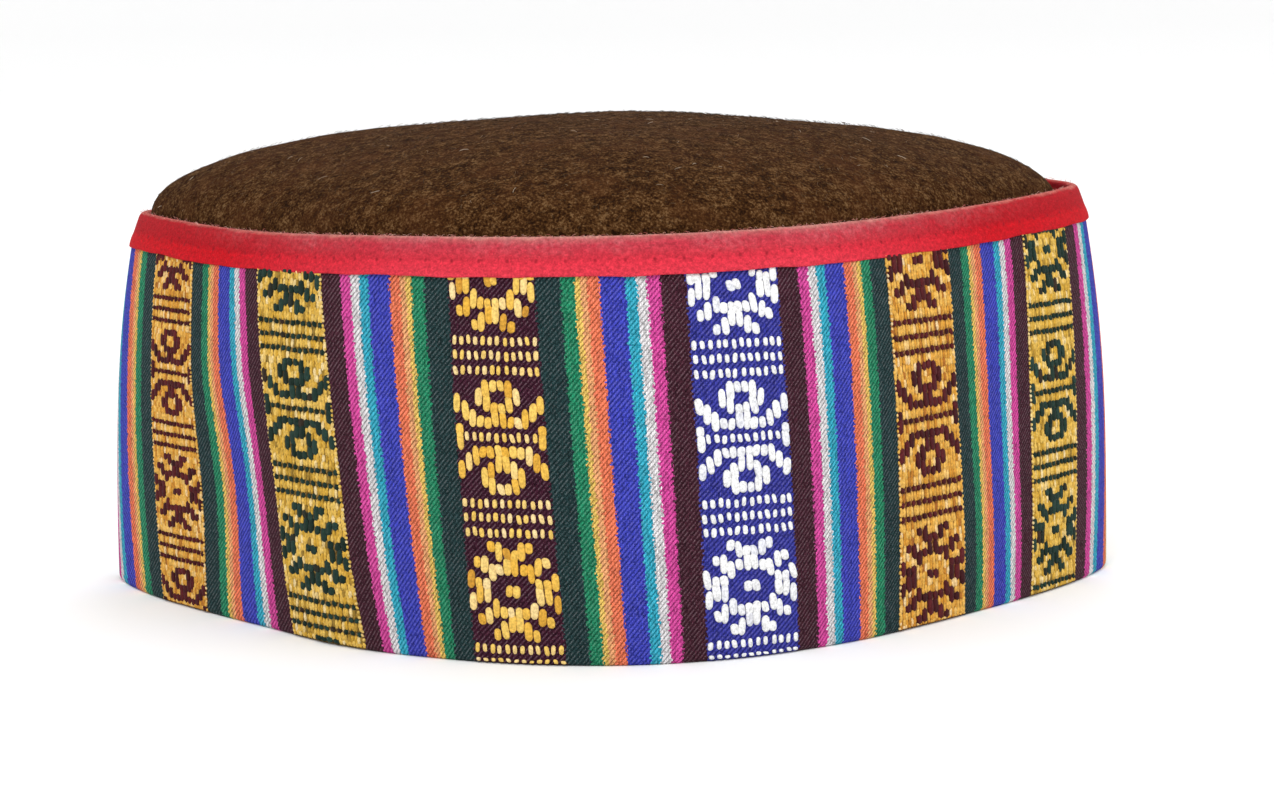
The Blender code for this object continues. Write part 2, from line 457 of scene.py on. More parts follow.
def grid_mesh(name, points, cloth, poles=()):
    """Closed skin over rings of points that go round the cap.

    points holds a row for each ring, in order over the surface. Without poles the last ring joins the
    first. With two poles, the first and last rings close on them. cloth holds the cloth's own measure
    for each corner, one column more than the rings have points, and one row more without poles.
    """
    rings, count = points.shape[:2]
    spans = rings - 1 if poles else rings
    rows, columns = np.meshgrid(np.arange(spans), np.arange(count), indexing="ij")
    rows, columns = rows.ravel(), columns.ravel()
    corner_rows = np.stack([rows, rows, rows + 1, rows + 1], 1)
    corner_columns = np.stack([columns, columns + 1, columns + 1, columns], 1)
    faces = ((corner_rows % rings) * count + corner_columns % count).tolist()
    vertices = points.reshape(-1, 3).tolist()
    uv = cloth[corner_rows, corner_columns].reshape(-1, 2)
    steps = np.linalg.norm(np.diff(points, axis=0), axis=2).mean(1)
    down = np.concatenate([[0], np.cumsum(steps), [steps.sum() + steps.mean()]])
    down = 0.02 + 0.96 * down / down[-1]
    bake = np.stack([0.01 + 0.98 * corner_columns / count, down[corner_rows]], -1).reshape(-1, 2)
    for pole, ring, edge in zip(poles, (0, rings - 1), (0.004, 0.996)):
        vertices.append(list(pole))
        tip = len(vertices) - 1
        for step in range(count):
            near, far = (step + 1, step) if ring == 0 else (step, step + 1)
            faces.append([ring * count + near % count, ring * count + far % count, tip])
            uv = np.append(uv, [cloth[ring, near], cloth[ring, far], cloth[ring, step]], 0)
            spots = [0.01 + 0.98 * value / count for value in (near, far)]
            bake = np.append(bake, [[spots[0], down[ring]], [spots[1], down[ring]], [spots[0], edge]], 0)
    mesh = bpy.data.meshes.new(name)
    mesh.from_pydata(vertices, [], faces)
    fill_uv(mesh, "cloth", uv)
    fill_uv(mesh, "OFBake", bake)
    return mesh


def tube_mesh(name, rings, tips, tint):
    """Many short closed threads: rings of points for each, a tip at both ends, and a tint for each."""
    many, count, sides = rings.shape[:3]
    per_thread = count * sides + 2
    points = np.concatenate([rings.reshape(many, -1, 3), tips], 1).reshape(-1, 3)
    corners, uv = [], []
    for ring in range(count - 1):
        for side in range(sides):
            beyond = (side + 1) % sides
            corners.append([ring * sides + side, ring * sides + beyond,
                            (ring + 1) * sides + beyond, (ring + 1) * sides + side])
            uv.append([(side, ring + 1), (side + 1, ring + 1), (side + 1, ring + 2), (side, ring + 2)])
    for side in range(sides):
        beyond = (side + 1) % sides
        last = (count - 1) * sides
        corners.append([side, per_thread - 2, beyond])
        uv.append([(side, 1), (side + 0.5, 0), (side + 1, 1)])
        corners.append([last + side, last + beyond, per_thread - 1])
        uv.append([(side, count), (side + 1, count), (side + 0.5, count + 1)])
    quads = (count - 1) * sides
    quad_part = np.array(corners[:quads]).reshape(1, -1, 4) + np.arange(many)[:, None, None] * per_thread
    fan_part = np.array(corners[quads:]).reshape(1, -1, 3) + np.arange(many)[:, None, None] * per_thread
    loops = np.concatenate([quad_part.reshape(-1), fan_part.reshape(-1)])
    sizes = np.concatenate([np.full(many * quads, 4), np.full(many * 2 * sides, 3)])
    mesh = bpy.data.meshes.new(name)
    mesh.vertices.add(len(points))
    mesh.vertices.foreach_set("co", points.astype(np.float32).ravel())
    mesh.loops.add(len(loops))
    mesh.loops.foreach_set("vertex_index", loops.astype(np.int32))
    mesh.polygons.add(len(sizes))
    starts = np.concatenate([[0], np.cumsum(sizes)[:-1]])
    mesh.polygons.foreach_set("loop_start", starts.astype(np.int32))
    mesh.update(calc_edges=True)
    scale = np.array([sides, count + 1])
    quad_uv = np.array([pair for face in uv[:quads] for pair in face]) / scale
    fan_uv = np.array([pair for face in uv[quads:] for pair in face]) / scale
    cells = math.ceil(math.sqrt(many))
    cell = np.stack([np.arange(many) % cells, np.arange(many) // cells], 1)[:, None, :]
    thread = [np.tile(part, (many, 1)) for part in (quad_uv, fan_uv)]
    baked = [((cell + 0.06 + 0.88 * part[None]) / cells).reshape(-1, 2) for part in (quad_uv, fan_uv)]
    fill_uv(mesh, "thread", np.concatenate(thread))
    fill_uv(mesh, "OFBake", np.concatenate(baked))
    layer = mesh.attributes.new("tint", "FLOAT", "POINT")
    layer.data.foreach_set("value", np.repeat(tint, per_thread).astype(np.float32))
    return mesh


def strand_rings(starts, middles, ends, normals, radius):
    """Rings and tips of fine strands, each bent through three points."""
    along = ends - starts
    along /= np.linalg.norm(along, axis=1)[:, None]
    side = np.cross(along, normals)
    side /= np.linalg.norm(side, axis=1)[:, None] + 1e-12
    up = np.cross(side, along)
    rings = []
    for part in (0.18, 0.5, 0.82):
        spot = (1 - part) ** 2 * starts + 2 * part * (1 - part) * middles + part**2 * ends
        ring = [spot + radius[:, None] * (math.cos(turn) * side + math.sin(turn) * up)
                for turn in (math.radians(90), math.radians(210), math.radians(330))]
        rings.append(np.stack(ring, 1))
    return np.stack(rings, 1), np.stack([starts, ends], 1)


# Shader helpers

class Net:
    """Short way to add and join the nodes of one tree."""

    def __init__(self, tree):
        self.tree = tree

    def put(self, socket, value):
        if isinstance(value, bpy.types.NodeSocket):
            self.tree.links.new(value, socket)
        elif isinstance(value, (tuple, list)) and len(value) == 3 and socket.type == "RGBA":
            socket.default_value = (*value, 1)
        elif value is not None:
            socket.default_value = value

    def add(self, kind, inputs=(), **settings):
        node = self.tree.nodes.new(kind)
        for name, value in settings.items():
            setattr(node, name, value)
        for name, value in dict(inputs).items():
            self.put(node.inputs[name], value)
        return node

    def math(self, operation, first, second=None):
        node = self.add("ShaderNodeMath", operation=operation)
        for socket, value in zip(node.inputs, (first, second)):
            self.put(socket, value)
        return node.outputs[0]

    def plus(self, first, second):
        return self.math("ADD", first, second)

    def minus(self, first, second):
        return self.math("SUBTRACT", first, second)

    def times(self, first, second):
        return self.math("MULTIPLY", first, second)

    def over(self, first, second):
        return self.math("DIVIDE", first, second)

    def place(self):
        return self.add("ShaderNodeTexCoord").outputs["Object"]

    def measure(self, name):
        return self.add("ShaderNodeUVMap", uv_map=name).outputs[0]

    def tint(self):
        return self.add("ShaderNodeAttribute", attribute_name="tint").outputs["Fac"]

    def split(self, vector):
        return self.add("ShaderNodeSeparateXYZ", {"Vector": vector}).outputs

    def pair(self, x, y):
        return self.add("ShaderNodeCombineXYZ", {"X": x, "Y": y}).outputs[0]

    def toss(self, vector):
        return self.add("ShaderNodeTexWhiteNoise", {"Vector": vector}, noise_dimensions="2D").outputs["Value"]

    def mix(self, factor, first, second, blend="MIX"):
        node = self.add("ShaderNodeMix", data_type="RGBA", blend_type=blend)
        self.put(node.inputs["Factor"], factor)
        self.put(node.inputs[6], first)
        self.put(node.inputs[7], second)
        return node.outputs[2]

    def shade(self, base, value):
        grey = self.add("ShaderNodeCombineColor", {"Red": value, "Green": value, "Blue": value})
        return self.mix(1.0, base, grey.outputs[0], "MULTIPLY")

    def spread(self, value, low, high, new_low=0.0, new_high=1.0):
        node = self.add("ShaderNodeMapRange", {
            "Value": value, "From Min": low, "From Max": high, "To Min": new_low, "To Max": new_high})
        return node.outputs[0]

    def ramp(self, factor, stops, interpolation="LINEAR"):
        node = self.add("ShaderNodeValToRGB")
        node.color_ramp.interpolation = interpolation
        elements = node.color_ramp.elements
        for _ in range(len(stops) - 2):
            elements.new(0.5)
        for element, (place, tone) in zip(elements, stops):
            element.position = place
            element.color = (*tone, 1)
        self.put(node.inputs[0], factor)
        return node.outputs[0]

    def noise(self, vector, scale, detail=2.0, roughness=0.5):
        node = self.add("ShaderNodeTexNoise", {
            "Vector": vector, "Scale": scale, "Detail": detail, "Roughness": roughness})
        return node.outputs[0]

    def stretch(self, vector, x, y, z):
        node = self.add("ShaderNodeVectorMath", operation="MULTIPLY")
        self.put(node.inputs[0], vector)
        node.inputs[1].default_value = (x, y, z)
        return node.outputs[0]


def new_group(name, inputs, outputs):
    """Shader node group; gives its net, its input node and its output node.

    Each input is a name and a number, or None for a vector. Each output is the name of a number.
    """
    tree = bpy.data.node_groups.new(name, "ShaderNodeTree")
    for label, default in inputs:
        kind = "NodeSocketVector" if default is None else "NodeSocketFloat"
        socket = tree.interface.new_socket(label, in_out="INPUT", socket_type=kind)
        if default is not None:
            socket.default_value = default
    for label in outputs:
        tree.interface.new_socket(label, in_out="OUTPUT", socket_type="NodeSocketFloat")
    net = Net(tree)
    return net, net.add("NodeGroupInput"), net.add("NodeGroupOutput")


def twill_group():
    """Twill weave: height, mask of the grooves for painted shade, tone of each thread, mask of the ridges,
    and specks.
    """
    known = bpy.data.node_groups.get("twill weave")
    if known:
        return known
    net, given, result = new_group(
        "twill weave",
        (("Across", 0.0), ("Along", 0.0), ("Pitch", 0.00036)),
        ("Height", "Groove", "Tone", "Ridge", "Speck"),
    )
    across = net.over(given.outputs["Across"], given.outputs["Pitch"])
    along = net.over(given.outputs["Along"], given.outputs["Pitch"])
    column = net.math("FLOOR", across)
    row = net.math("FLOOR", along)

    # Every third crossing of a row shows the lying thread, one column further on in each row
    crossing = net.math("FLOORED_MODULO", net.minus(column, row), 3)
    lies = net.math("LESS_THAN", crossing, 0.5)
    in_column = net.minus(net.math("FRACT", across), 0.5)
    in_row = net.minus(net.math("FRACT", along), 0.5)
    upright = net.minus(1.0, net.times(net.times(in_column, in_column), 3.2))
    lying = net.minus(0.8, net.times(net.times(in_row, in_row), 3.2))
    height = net.plus(net.times(lies, lying), net.times(net.minus(1.0, lies), upright))

    # A tone lasts for seven rows of a column, and a speck for one crossing
    tone = net.toss(net.pair(column, net.math("FLOOR", net.over(row, 7.0))))
    speck = net.toss(net.pair(column, row))
    slant = net.over(net.minus(across, along), 3.0)
    rib = net.times(net.math("PINGPONG", slant, 0.5), 2.0)
    # Mask of the grooves: where painted shade darkens the cloth along the twill's diagonals
    groove_shade = net.times(net.spread(rib, 0.55, 0.10), net.spread(speck, 0.0, 1.0, 0.45, 1.0))
    ridge = net.times(net.spread(rib, 0.60, 0.95), net.spread(speck, 0.2, 0.9, 0.0, 1.0))
    values = {"Height": height, "Groove": groove_shade, "Ridge": ridge, "Tone": tone, "Speck": speck}
    for name, value in values.items():
        net.put(result.inputs[name], value)
    return net.tree


def patch_group():
    """Soft patches on any surface, as a mask."""
    known = bpy.data.node_groups.get("patchy wear")
    if known:
        return known
    net, given, result = new_group(
        "patchy wear",
        (("Vector", None), ("Scale", 60.0), ("Amount", 0.5)),
        ("Mask",),
    )
    broad = net.noise(given.outputs["Vector"], given.outputs["Scale"], 3.0, 0.6)
    fine = net.noise(given.outputs["Vector"], net.times(given.outputs["Scale"], 9.0), 2.0, 0.6)
    both = net.times(net.spread(broad, 0.35, 0.7), net.spread(fine, 0.3, 0.7))
    net.put(result.inputs["Mask"], net.times(both, given.outputs["Amount"]))
    return net.tree


def new_material(name, roughness, sheen=0.0, sheen_tint=(1, 1, 1), *, specular):
    """Material with a Principled shader; gives the material, its net and the shader."""
    material = bpy.data.materials.new(name)
    material.use_nodes = True
    shader = material.node_tree.nodes["Principled BSDF"]
    shader.inputs["Roughness"].default_value = roughness
    shader.inputs["Specular IOR Level"].default_value = specular
    shader.inputs["Sheen Weight"].default_value = sheen
    shader.inputs["Sheen Roughness"].default_value = 0.5
    shader.inputs["Sheen Tint"].default_value = (*sheen_tint, 1)
    return material, Net(material.node_tree), shader


def bump(net, shader, height, distance, strength=0.8):
    """Bump from a height that changes over the surface."""
    node = net.add("ShaderNodeBump", {"Height": height, "Distance": distance, "Strength": strength})
    net.put(shader.inputs["Normal"], node.outputs[0])


def cloth_material():
    """Striped twill: upright stripes by the cloth's own measure, with cross threads and toothed edges."""
    threads = weave()
    material, net, shader = new_material("striped twill", 0.9, 0.02, specular=0.06)
    measure = net.measure("cloth")
    count, along = net.split(measure)[:2]
    across = net.times(count, threads.band_pitch)
    twill = net.add("ShaderNodeGroup", {"Across": across, "Along": along, "Pitch": threads.thread_pitch},
                    node_tree=twill_group())

    # The stripes' edges stray by a tooth for each rib of the twill, and a little for each thread
    tooth = net.math("PINGPONG", net.over(along, 3 * threads.thread_pitch), 0.5)
    wander = net.noise(net.stretch(measure, 30, 900, 1), 1.0, 1.0)
    speck = twill.outputs["Speck"]
    stray = net.plus(net.plus(tooth, wander), speck)
    shifted = net.plus(count, net.times(stray, 0.013))
    shifted = net.minus(shifted, 0.016)

    # Stripes mirror about the middle of each pattern band, and the four grounds take turns
    place = net.math("PINGPONG", shifted, 1.0)
    stops = [(0.0, "deep_green"), *STRIPES]
    stripes = net.ramp(place, [(start, tuple(getattr(threads, name))) for start, name in stops], "CONSTANT")
    which = net.over(net.math("FLOORED_MODULO", net.plus(shifted, 0.5), 4.0), 4.0)
    grounds = (threads.wine_ground, threads.blue_ground, threads.gold_ground, threads.lime_ground)
    ground = net.ramp(which, [(0.25 * step, tuple(tone)) for step, tone in enumerate(grounds)], "CONSTANT")
    in_band = net.math("LESS_THAN", net.math("PINGPONG", shifted, 0.5), BAND_SHARE)
    base = net.mix(in_band, stripes, ground)

    # Uneven threads, paler ridges, painted shade in the grooves and a few dark specks
    tone = net.spread(twill.outputs["Tone"], 0.0, 1.0, 0.88, 1.22)
    slub = net.spread(net.noise(net.stretch(measure, 90, 800, 1), 1.0, 2.0), 0.3, 0.7, 0.82, 1.18)
    base = net.shade(base, net.times(tone, slub))
    base = net.mix(net.times(twill.outputs["Ridge"], 0.20), base, (0.46, 0.40, 0.42))
    dark = net.times(net.math("LESS_THAN", speck, 0.12), 0.40)
    # The darker of the dark specks and the painted shade in the grooves
    low = net.math("MAXIMUM", dark, net.times(twill.outputs["Groove"], 0.80))
    base = net.shade(base, net.minus(1.0, low))
    net.put(shader.inputs["Base Color"], base)
    bump(net, shader, twill.outputs["Height"], 0.00022, 0.9)
    return material


def float_material(name, tones):
    """Plump pattern thread: a tone for each thread, and fine fibres along it."""
    material, net, shader = new_material(name, 0.8, 0.03, specular=0.10)
    tint = net.tint()
    base = net.ramp(tint, tones)
    measure = net.measure("thread")
    fibres = net.noise(net.stretch(measure, 34, 3, 1), 1.0, 2.0, 0.7)
    place = net.place()
    mottle = net.noise(place, 1900, 1.0)
    varied_tone = net.times(net.spread(fibres, 0.3, 0.7, 0.72, 1.14), net.spread(mottle, 0.3, 0.7, 0.74, 1.14))
    net.put(shader.inputs["Base Color"], net.shade(base, varied_tone))
    bump(net, shader, fibres, 0.00012)
    return material


def tape_material():
    """Folded cotton tape: bright red by its lower edge, darker above, with pale pink patches, and a painted
    highlight along the fold.
    """
    material, net, shader = new_material("red tape", 0.9, 0.04, (1.0, 0.75, 0.75), specular=0.06)
    measure = net.measure("cloth")
    along, drop = net.split(measure)[:2]
    place = net.place()
    wander = net.noise(place, 160, 3.0, 0.6)
    height = net.plus(drop, net.times(net.minus(wander, 0.5), 0.0014))
    share = net.spread(height, 0.0, shape().tape_width)
    # Tones by height: pale at the very top as a painted highlight along the fold, darker above the stitches,
    # brighter red below them
    varied_tone = net.ramp(share, (
        (0.00, (0.52, 0.220, 0.180)),
        (0.07, (0.44, 0.085, 0.090)),
        (0.20, (0.45, 0.034, 0.054)),
        (0.50, (0.52, 0.028, 0.046)),
        (0.66, (0.62, 0.030, 0.052)),
        (1.00, (0.64, 0.040, 0.064)),
    ))
    deep_red_tone = net.ramp(share, (
        (0.00, (0.48, 0.11, 0.09)),
        (0.07, (0.38, 0.008, 0.014)),
        (0.50, (0.38, 0.003, 0.009)),
        (0.66, (0.50, 0.003, 0.009)),
        (1.00, (0.50, 0.004, 0.011)),
    ))

    # Paler and pinker over the front and back, deeper red towards the side folds
    sideways = net.math("ABSOLUTE", net.split(place)[0])
    base = net.mix(net.spread(sideways, 0.040, 0.082), varied_tone, deep_red_tone)
    # Pale pink patches high up on the front and back
    pale_patches = net.add("ShaderNodeGroup", {"Vector": place, "Scale": 90, "Amount": 0.35}, node_tree=patch_group())
    high = net.times(net.spread(drop, 0.0045, 0.001), net.spread(sideways, 0.095, 0.070))
    base = net.mix(net.times(pale_patches.outputs[0], high), base, (0.60, 0.26, 0.27))
    twill = net.add("ShaderNodeGroup", {"Across": along, "Along": drop, "Pitch": TAPE_THREAD_PITCH},
                    node_tree=twill_group())
    grain = net.spread(net.noise(net.stretch(measure, 900, 1300, 1), 1.0, 3.0, 0.7), 0.3, 0.7, 0.66, 1.22)
    speck = net.spread(twill.outputs["Speck"], 0.0, 1.0, 0.84, 1.10)
    base = net.shade(base, net.times(grain, speck))

    # Stitch holes: a row of small dark dots of painted shade
    stitch = net.math("FRACT", net.over(along, CAP_OT_binding.stitch_pitch))
    aside = net.times(net.minus(stitch, 0.5), CAP_OT_binding.stitch_pitch)
    below = net.minus(drop, CAP_OT_binding.stitch_drop)
    off = net.math("SQRT", net.plus(net.times(aside, aside), net.times(below, below)))
    base = net.mix(net.spread(off, 0.00050, 0.00020, 0.0, 0.6), base, (0.16, 0.006, 0.012))
    net.put(shader.inputs["Base Color"], base)
    rough = net.plus(net.times(twill.outputs["Height"], 0.5), grain)
    bump(net, shader, rough, 0.00016)
    return material


def wool_material():
    """Felted wool: a melange of dark, mid and reddish brown with a rough nap."""
    material, net, shader = new_material("brown wool", 1.0, specular=0.03)
    place = net.place()
    broad = net.noise(place, 90, 3.0, 0.6)
    clump = net.noise(place, 420, 3.0, 0.7)
    fine = net.noise(place, 1800, 2.0, 0.7)
    mixed = net.plus(net.times(clump, 0.44), net.times(fine, 0.56))
    base = net.ramp(net.spread(mixed, 0.39, 0.61), (
        (0.0, (0.013, 0.005, 0.002)),
        (0.40, (0.036, 0.014, 0.004)),
        (0.72, (0.072, 0.032, 0.011)),
        (1.0, (0.135, 0.073, 0.030)),
    ))
    base = net.mix(net.spread(broad, 0.45, 0.75, 0.0, 0.5), base, (0.066, 0.023, 0.008))
    net.put(shader.inputs["Base Color"], base)
    bump(net, shader, mixed, 0.0009)
    return material


def strand_material(name, tones):
    """Fine loose fibres, each with a tone of its own."""
    material, net, shader = new_material(name, 0.8, specular=0.15)
    tint = net.tint()
    net.put(shader.inputs["Base Color"], net.ramp(tint, tones))
    return material


# Pieces

class CAP_OT_crown(Operator):
    """Build the felted wool crown, inside and out"""

    bl_idname = "cap.crown"
    bl_label = "Wool crown"

    def execute(self, context):
        cap = shape()
        turns = np.linspace(0, 360, CROWN_POINTS, endpoint=False)
        outer = crown_inset()
        inner = outer + cap.crown_wall
        inner_peak = cap.crown_height - cap.crown_wall
        spring = cuff_top(turns) - cap.seat_drop - sink(turns)
        foot = cap.hem_fold + cap.fit_gap
        rings = [on_dome(turns, outer, cap.crown_height, rise) for rise in np.linspace(DOME_TOP_RISE, 0, 34)]
        for ring in rings:
            ring[:, 2] += self.lumps(ring)
        shares = np.linspace(0.92, 0, 9)
        rings += [on_wall(turns, outer, foot + share * (spring - foot)) for share in shares]
        rings += [on_wall(turns, inner, foot + share * (spring - foot)) for share in shares[::-1]]
        rings += [on_dome(turns, inner, inner_peak, rise) for rise in np.linspace(0, DOME_INNER_TOP_RISE, 20)]
        points = np.array(rings)
        poles = [(0, 0, cap.crown_height + self.lumps(np.zeros((1, 3)))[0]), (0, 0, inner_peak)]
        measure = np.zeros((len(points) + 1, len(turns) + 1, 2))
        mesh = grid_mesh("crown_wool", points, measure, poles)
        mesh.flip_normals()
        piece = new_object("crown_wool", mesh, wool_material())
        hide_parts("crown")
        return {"FINISHED"}

    @staticmethod
    def lumps(points):
        """Slight unevenness of the felt, in metres upwards."""
        x, y = points[:, 0], points[:, 1]
        broad = np.sin(x * 95 + 1.0) * np.sin(y * 88 + 0.5)
        small = np.sin(x * 310 + y * 120 + 2.0) * np.sin(y * 290 - x * 90)
        return 0.00030 * broad + 0.00012 * small


# Loose fibres on the crown: how many, their lengths, radius and how far they stand up, in metres
Fibres = namedtuple("Fibres", "count shortest longest radius lift")
NAP = Fibres(9000, 0.0007, 0.0020, 0.00004, 0.00016)
LINT = Fibres(80, 0.0009, 0.0026, 0.00005, 0.00025)


class CAP_OT_nap(Operator):
    """Lay loose wool fibres and lint over the crown"""

    bl_idname = "cap.nap"
    bl_label = "Wool nap"

    def execute(self, context):
        dice = np.random.default_rng(context.scene.cap_studio.seed)
        tones = (
            (0.0, (0.012, 0.006, 0.002)),
            (0.50, (0.040, 0.019, 0.007)),
            (0.80, (0.080, 0.042, 0.018)),
            (0.94, (0.150, 0.090, 0.045)),
            (1.0, (0.300, 0.210, 0.130)),
        )
        pale = ((0.0, (0.14, 0.08, 0.04)), (1.0, (0.46, 0.37, 0.27)))
        tint = dice.random(NAP.count) ** 1.5 * 0.97
        piece = self.fibres("crown_nap", dice, NAP, tint, strand_material("wool fibres", tones))
        tint = 0.4 + 0.6 * dice.random(LINT.count)
        lint = self.fibres("crown_lint", dice, LINT, tint, strand_material("lint", pale))
        return {"FINISHED"}

    @staticmethod
    def fibres(name, dice, kind, tint, material):
        """Fibres scattered evenly over the dome."""
        cap, many = shape(), kind.count
        rise = np.degrees(np.arccos(np.sqrt(dice.random(many)) * 0.999))
        turn = dice.random(many) * 360
        start = on_dome(turn, crown_inset(), cap.crown_height, rise)
        start[:, 2] += CAP_OT_crown.lumps(start)
        up = np.stack([start[:, 0] * 0.3, start[:, 1] * 0.3, np.full(many, 0.04)], 1)
        up /= np.linalg.norm(up, axis=1)[:, None]
        heading = dice.normal(size=(many, 3))
        heading -= (heading * up).sum(1)[:, None] * up
        heading /= np.linalg.norm(heading, axis=1)[:, None]
        reach = dice.uniform(kind.shortest, kind.longest, many)[:, None]
        end = start + heading * reach + up * (dice.uniform(-0.1, 1.0, many) * kind.lift)[:, None]
        sideways = np.cross(heading, up) * reach * dice.uniform(-0.35, 0.35, many)[:, None]
        middle = (start + end) / 2 + sideways + up * (dice.uniform(0.3, 1.6, many) * kind.lift)[:, None]
        thick = kind.radius * dice.uniform(0.7, 1.3, many)
        rings, tips = strand_rings(start, middle, end, up, thick)
        return new_object(name, tube_mesh(name, rings, tips, tint), material)


class CAP_OT_band(Operator):
    """Weave the striped cloth band, folded under at the rim and up inside"""

    bl_idname = "cap.band"
    bl_label = "Striped band"

    def execute(self, context):
        cap = shape()
        arc, turn = along_rim(BAND_POINTS)
        top = cuff_top(turn) - cap.tape_wall - cap.fit_gap
        hem_front = crown_inset() + cap.crown_wall + cap.fit_gap
        hem_back = hem_front + cap.hem_wall
        round_ = cap.rim_round
        rows = []

        def row(inset, height, measure):
            lift = cloth_ripple(arc, height) + seam_lap(arc, arc[-1]) - tuck(turn, height)
            face = lift if inset < cap.band_wall else 0.0
            rows.append((on_wall(turn, inset - face, height), np.broadcast_to(measure, arc.shape), height))

        for share in np.linspace(1, 0, 60):
            height = round_ + share * (top - round_)
            row(0, height, height)
        for spot in np.radians([22.5, 45, 67.5, 90]):
            height = round_ * (1 - math.sin(spot))
            row(round_ * (1 - math.cos(spot)), height, height)
        row(0.5 * hem_back, 0.0, -0.5 * hem_back)
        for spot in np.radians([90, 60, 30, 0]):
            row(hem_back - round_ * (1 - math.cos(spot)), round_ * (1 - math.sin(spot)), -hem_back)
        for share in np.linspace(0.15, 1, 8):
            row(hem_back, share * cap.hem_height, -hem_back - share * cap.hem_height)
        row(0.5 * (hem_front + hem_back), cap.hem_height + 0.0004, -hem_back - cap.hem_height)
        row(hem_front, cap.hem_height, -hem_back - cap.hem_height)
        row(hem_front, cap.hem_fold, -hem_back)
        row(cap.band_wall, cap.hem_fold, 0)
        for share in np.linspace(0.1, 1, 6):
            row(cap.band_wall, cap.hem_fold + share * (top - cap.hem_fold), 0)
        points = np.array([line[0][:-1] for line in rows])
        measure = []
        for _, along, height in rows:
            counts = []
            for spot, level in zip(arc, np.broadcast_to(height, arc.shape)):
                edges, knots = band_knots(max(0.0, level))
                counts.append(np.interp(spot, knots, edges))
            measure.append(np.stack([counts, along], 1))
        measure.append(measure[0])
        mesh = grid_mesh("band_cloth", points, np.array(measure))
        mesh.flip_normals()
        piece = new_object("band_cloth", mesh, cloth_material())
        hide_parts("band")
        self.seam()
        return {"FINISHED"}

    @staticmethod
    def seam():
        """Running stitches up the lap at the back."""
        cap = shape()
        low = np.arange(0.004, cap.cuff_height - cap.tape_width - 0.003, SEAM_STITCH_PITCH)
        high = low + SEAM_STITCH_LENGTH
        back = np.full(len(low), rim_arcs()[1][-1] - SEAM_INSET)
        start, end = on_cloth(back, low, -0.0001), on_cloth(back, high, -0.0001)
        middle = on_cloth(back, (low + high) / 2, 0.00045)
        outwards = np.broadcast_to(np.array([0.0, 1.0, 0.0]), start.shape)
        rings, tips = strand_rings(start, middle, end, outwards, np.full(len(low), 0.00016))
        tones = ((0.0, (0.030, 0.010, 0.014)), (1.0, (0.060, 0.018, 0.024)))
        mesh = tube_mesh("seam_stitches", rings, tips, np.full(len(low), 0.5))
        piece = new_object("seam_stitches", mesh, strand_material("dark sewing thread", tones))


# Raised threads by their place in the chart: length beyond their rows, half width as a share of the
# column pitch, height as a share of a full float, and how far their tones lean to the pale end
Thread = namedtuple("Thread", "extra width lift paler")
FIGURE_THREAD, DASH, GROUND, DARK, DARK_DASH, KNOT = range(6)
THREADS = {
    FIGURE_THREAD: Thread(0.62, 0.52, 0.80, 0.0),
    DASH: Thread(0.30, 0.32, 0.75, 0.55),
    GROUND: Thread(0.55, 0.28, 0.55, 0.0),
    DARK: Thread(0.36, 0.50, 0.90, 0.0),
    DARK_DASH: Thread(-0.18, 0.34, 0.90, 0.0),
    KNOT: Thread(-0.45, 0.22, 0.60, 0.4),
}
LONGEST_RUN = 2  # rows that one thread covers before it dips
GROUND_COLUMNS = np.arange(-0.25, COLUMNS - 0.5, 0.5)
KNOT_COLUMNS = (-0.42, 11.42)
KNOT_ROWS = 0.7  # rows from one knot to the next

# Rings along a raised thread, from -1 at one end to 1 at the other, and how blunt its ends are
SHORT_THREAD = ((-0.72, 0.0, 0.72), 2.3)
LONG_THREAD = ((-0.94, -0.66, 0.0, 0.66, 0.94), 4.5)


def rows_of(band):
    """Height of a band's lowest star, and its row pitch, in metres."""
    return weave().star_height + band.lift / MILLIMETRES, weave().row_pitch * band.pitch


def chart_cells(band):
    """Each row number up a band with its row of the chart."""
    star, pitch = rows_of(band)
    low = math.floor(-star / pitch)
    high = math.ceil((shape().cuff_height - star) / pitch) + 3
    return [(row, REPEAT[row % len(REPEAT)]) for row in range(low, high)]


